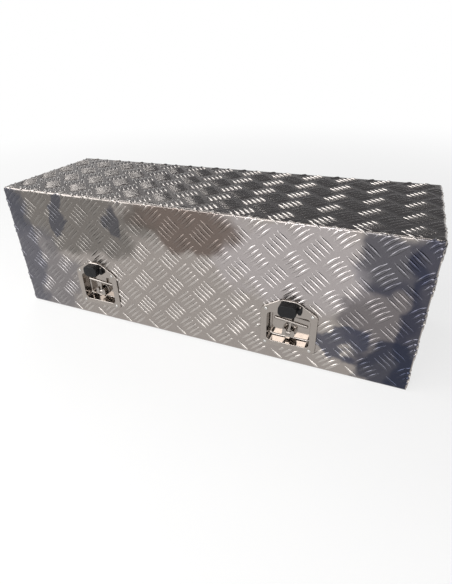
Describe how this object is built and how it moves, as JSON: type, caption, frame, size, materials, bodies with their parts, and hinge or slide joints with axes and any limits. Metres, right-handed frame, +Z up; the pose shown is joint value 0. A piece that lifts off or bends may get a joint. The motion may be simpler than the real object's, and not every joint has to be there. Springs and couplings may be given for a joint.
{
  "type": "truck tool box",
  "caption": "Aluminium tread-plate tool box with a folded lid that forms the top and front, a rear piano hinge, gas struts and two recessed T-handle latches.",
  "frame": {"origin": "middle of the underside of the tub", "axes": "+X right along the front, -Y out of the front, +Z up"},
  "size_m": [0.75, 0.274, 0.25],
  "materials": {
    "tread_plate": "mill-finish five-bar tread plate",
    "stainless": "polished stainless steel",
    "hinge_steel": "rolled stainless steel",
    "zinc_steel": "zinc-plated steel",
    "lock_zinc": "plated die-cast zinc",
    "rod_chrome": "ground hard chrome",
    "strut_black": "satin black paint",
    "seal_rubber": "matt EPDM rubber",
    "black_plastic": "moulded satin black"
  },
  "bodies": {
    "tub": {"tub_sheet": "tread_plate", "end_panel_left": "tread_plate", "end_panel_right": "tread_plate", "seal_strip": "seal_rubber", "strike_left": "stainless", "strike_right": "stainless", "hinge_leaf_tub": "hinge_steel", "hinge_pin": "hinge_steel", "strut_bracket_tub_left": "zinc_steel", "strut_bracket_tub_right": "zinc_steel", "strut_pin_tub_left": "zinc_steel", "strut_pin_tub_right": "zinc_steel"},
    "lid": {"lid_sheet": "tread_plate", "hinge_leaf_lid": "hinge_steel", "strut_bracket_lid_left": "zinc_steel", "strut_bracket_lid_right": "zinc_steel", "strut_pin_lid_left": "zinc_steel", "strut_pin_lid_right": "zinc_steel", "latch_gasket_left": "seal_rubber", "latch_pan_left": "stainless", "lock_barrel_left": "lock_zinc", "lock_nut_left": "zinc_steel", "cover_ring_left": "black_plastic", "cover_pin_left": "stainless", "latch_gasket_right": "seal_rubber", "latch_pan_right": "stainless", "lock_barrel_right": "lock_zinc", "lock_nut_right": "zinc_steel", "cover_ring_right": "black_plastic", "cover_pin_right": "stainless"},
    "strut_tube_body_left": {"strut_tube_left": "strut_black", "strut_eye_tub_left": "zinc_steel"},
    "strut_rod_body_left": {"strut_rod_left": "rod_chrome", "strut_eye_lid_left": "zinc_steel"},
    "latch_turn_body_left": {"spindle_left": "stainless", "fold_pin_left": "stainless", "cam_arm_left": "zinc_steel", "cam_nut_left": "zinc_steel"},
    "handle_body_left": {"t_handle_left": "stainless"},
    "lock_body_left": {"lock_core_left": "lock_zinc", "lock_tail_left": "zinc_steel"},
    "cover_body_left": {"dust_cover_left": "black_plastic"},
    "strut_tube_body_right": {"strut_tube_right": "strut_black", "strut_eye_tub_right": "zinc_steel"},
    "strut_rod_body_right": {"strut_rod_right": "rod_chrome", "strut_eye_lid_right": "zinc_steel"},
    "latch_turn_body_right": {"spindle_right": "stainless", "fold_pin_right": "stainless", "cam_arm_right": "zinc_steel", "cam_nut_right": "zinc_steel"},
    "handle_body_right": {"t_handle_right": "stainless"},
    "lock_body_right": {"lock_core_right": "lock_zinc", "lock_tail_right": "zinc_steel"},
    "cover_body_right": {"dust_cover_right": "black_plastic"}
  },
  "joints": [
    {"name": "lid_hinge", "type": "hinge", "parent": "tub", "child": "lid", "pos_m": [0, 0.1282, 0.237], "axis": [-1, 0, 0], "range_deg": [0, 80]},
    {"name": "strut_tube_swing_left", "type": "hinge", "parent": "tub", "child": "strut_tube_body_left", "pos_m": [-0.338, 0.08938, 0.09211], "axis": [-1, 0, 0], "range_deg": [0, 40]},
    {"name": "strut_rod_swing_left", "type": "hinge", "parent": "lid", "child": "strut_rod_body_left", "pos_m": [-0.338, -0.0218, 0.237], "axis": [-1, 0, 0], "range_deg": [-40, 0]},
    {"name": "latch_turn_left", "type": "hinge", "parent": "lid", "child": "latch_turn_body_left", "pos_m": [-0.1875, -0.125, 0.058], "axis": [0, -1, 0], "range_deg": [0, 90]},
    {"name": "handle_fold_left", "type": "hinge", "parent": "latch_turn_body_left", "child": "handle_body_left", "pos_m": [-0.1875, -0.119, 0.058], "axis": [0.9962, 0, -0.0872], "range_deg": [0, 90]},
    {"name": "lock_turn_left", "type": "hinge", "parent": "lid", "child": "lock_body_left", "pos_m": [-0.1875, -0.125, 0.1113], "axis": [0, -1, 0], "range_deg": [0, 90]},
    {"name": "cover_swing_left", "type": "hinge", "parent": "lid", "child": "cover_body_left", "pos_m": [-0.1695, -0.132, 0.1113], "axis": [0, 0, 1], "range_deg": [0, 110]},
    {"name": "strut_tube_swing_right", "type": "hinge", "parent": "tub", "child": "strut_tube_body_right", "pos_m": [0.338, 0.08938, 0.09211], "axis": [-1, 0, 0], "range_deg": [0, 40]},
    {"name": "strut_rod_swing_right", "type": "hinge", "parent": "lid", "child": "strut_rod_body_right", "pos_m": [0.338, -0.0218, 0.237], "axis": [-1, 0, 0], "range_deg": [-40, 0]},
    {"name": "latch_turn_right", "type": "hinge", "parent": "lid", "child": "latch_turn_body_right", "pos_m": [0.1875, -0.125, 0.058], "axis": [0, -1, 0], "range_deg": [0, 90]},
    {"name": "handle_fold_right", "type": "hinge", "parent": "latch_turn_body_right", "child": "handle_body_right", "pos_m": [0.1875, -0.119, 0.058], "axis": [0.9914, 0, -0.1305], "range_deg": [0, 90]},
    {"name": "lock_turn_right", "type": "hinge", "parent": "lid", "child": "lock_body_right", "pos_m": [0.1875, -0.125, 0.1113], "axis": [0, -1, 0], "range_deg": [0, 90]},
    {"name": "cover_swing_right", "type": "hinge", "parent": "lid", "child": "cover_body_right", "pos_m": [0.2055, -0.132, 0.1113], "axis": [0, 0, 1], "range_deg": [0, 110]}
  ],
  "couplings": [
    {"joint": "strut_tube_swing_left", "follows": "lid_hinge", "ratio": 0.5},
    {"joint": "strut_rod_swing_left", "follows": "lid_hinge", "ratio": -0.5},
    {"joint": "handle_fold_left", "follows": "latch_turn_left", "ratio": 1},
    {"joint": "strut_tube_swing_right", "follows": "lid_hinge", "ratio": 0.5},
    {"joint": "strut_rod_swing_right", "follows": "lid_hinge", "ratio": -0.5},
    {"joint": "handle_fold_right", "follows": "latch_turn_right", "ratio": 1}
  ]
}
